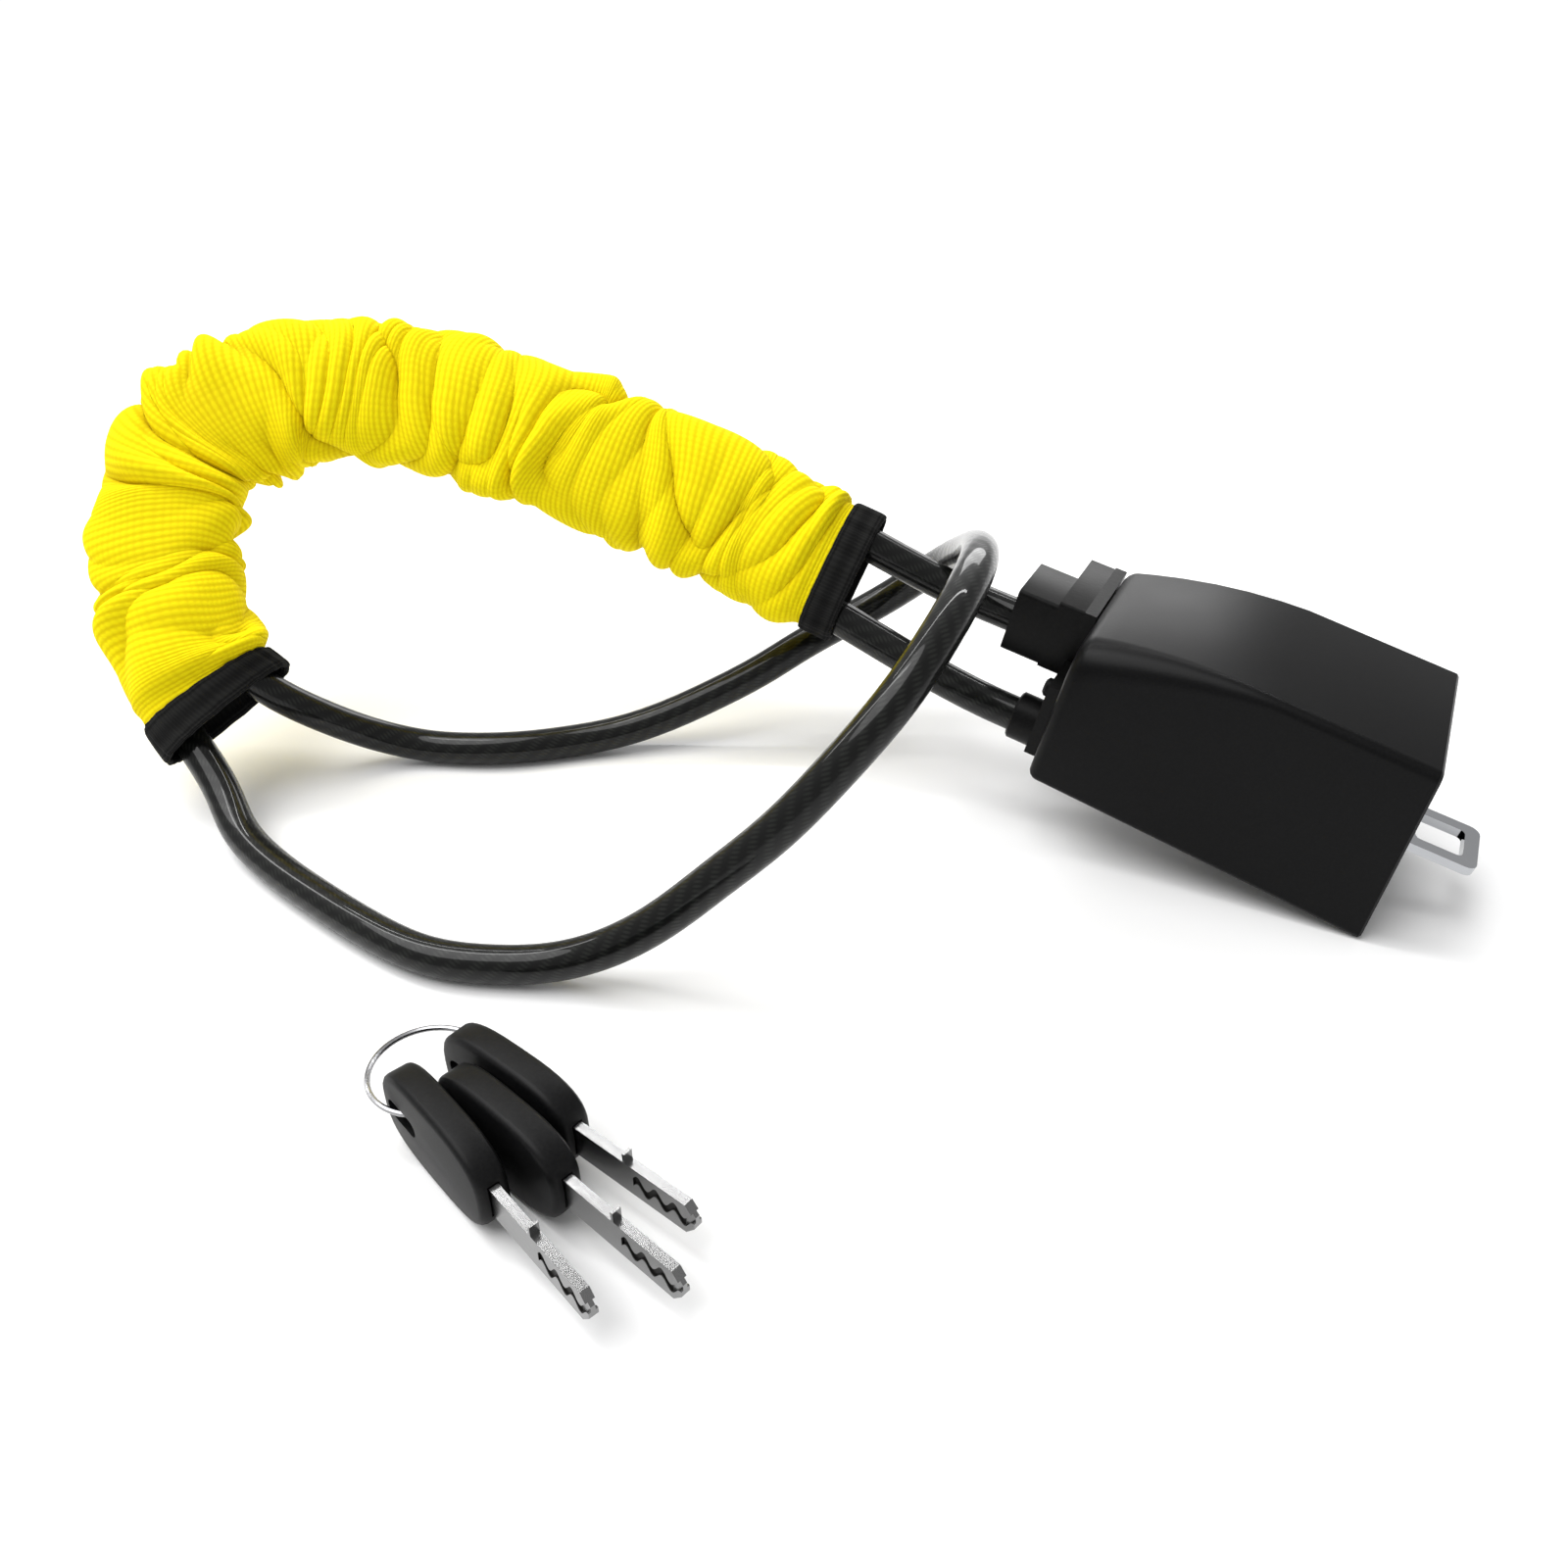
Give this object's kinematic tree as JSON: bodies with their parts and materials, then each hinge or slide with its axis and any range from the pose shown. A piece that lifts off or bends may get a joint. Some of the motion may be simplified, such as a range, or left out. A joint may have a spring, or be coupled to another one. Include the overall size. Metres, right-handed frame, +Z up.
{
  "type": "seat belt tongue cable lock",
  "caption": "Anti-theft cable lock with a black sliding hood over a seat belt tongue, a doubled cable loop in a scrunched yellow sleeve, and a ring of keys.",
  "frame": {"origin": "centre of the footprint of the lock body, sleeve and keys at floor level, the free cable left out", "axes": "+X runs from the sleeved loop towards the belt tongue, +Y away from the keys, +Z up"},
  "size_m": [0.4069, 0.2771, 0.1249],
  "materials": {
    "hood_plastic": "satin black moulded plastic with a fine spark texture",
    "black_casting": "black coated zinc casting, satin",
    "chrome": "bright polished chrome plate",
    "steel": "bright drawn steel",
    "brass": "machined brass",
    "cable_jacket": "clear smoked plastic jacket over twisted steel wire",
    "yellow_fabric": "bright yellow woven tube, scrunched",
    "black_webbing": "matte black woven binding",
    "key_plastic": "matte black moulded key head"
  },
  "bodies": {
    "lock_body": {"cable_anchor": "black_casting", "carriage": "black_casting", "belt_tongue": "chrome", "tongue_rivet_near": "steel", "tongue_rivet_far": "steel", "anchor_screw_near": "steel", "anchor_screw_far": "steel", "cable_ferrule_upper": "steel", "cable_ferrule_lower": "steel", "cable": "cable_jacket", "sleeve": "yellow_fabric", "sleeve_hem_lock_end": "black_webbing", "sleeve_hem_loop_end": "black_webbing"},
    "hood": {"hood_shell": "hood_plastic", "cylinder_housing": "chrome", "cylinder_nut": "brass", "bolt_guide": "black_casting"},
    "plug": {"lock_plug": "brass", "wafer_1": "brass", "wafer_2": "brass", "wafer_3": "brass", "wafer_4": "brass", "cam": "steel", "cam_screw": "steel"},
    "deadbolt": {"deadbolt": "steel"},
    "key_ring": {"key_ring": "steel"},
    "key_front": {"key_head_front": "key_plastic", "key_blade_front": "steel"},
    "key_middle": {"key_head_middle": "key_plastic", "key_blade_middle": "steel"},
    "key_back": {"key_head_back": "key_plastic", "key_blade_back": "steel"}
  },
  "joints": [
    {"name": "hood_slide", "type": "slide", "parent": "lock_body", "child": "hood", "axis": [0.8738, -0.4395, -0.2079], "range_m": [0, 0.028]},
    {"name": "plug_turn", "type": "hinge", "parent": "hood", "child": "plug", "pos_m": [0.1168, 0.04279, 0.05321], "axis": [0.4493, 0.8934, 0], "range_deg": [0, 90]},
    {"name": "deadbolt_slide", "type": "slide", "parent": "hood", "child": "deadbolt", "axis": [-0.1857, 0.0934, -0.9781], "range_m": [0, 0.004]},
    {"name": "key_ring_lift", "type": "slide", "parent": "lock_body", "child": "key_ring", "axis": [0, 0, 1], "range_m": [0, 0.08]},
    {"name": "key_front_swing", "type": "hinge", "parent": "key_ring", "child": "key_front", "pos_m": [-0.0718, -0.08613, 0.012], "axis": [-0.742, -0.6704, 0], "range_deg": [0, 15]},
    {"name": "key_middle_swing", "type": "hinge", "parent": "key_ring", "child": "key_middle", "pos_m": [-0.05919, -0.08602, 0.012], "axis": [-0.673, -0.7396, 0], "range_deg": [0, 15]},
    {"name": "key_back_swing", "type": "hinge", "parent": "key_ring", "child": "key_back", "pos_m": [-0.06025, -0.07343, 0.012], "axis": [-0.628, -0.7782, 0], "range_deg": [0, 15]}
  ],
  "couplings": [
    {"joint": "plug_turn", "follows": "deadbolt_slide", "rad_per_m": 392.7}
  ]
}
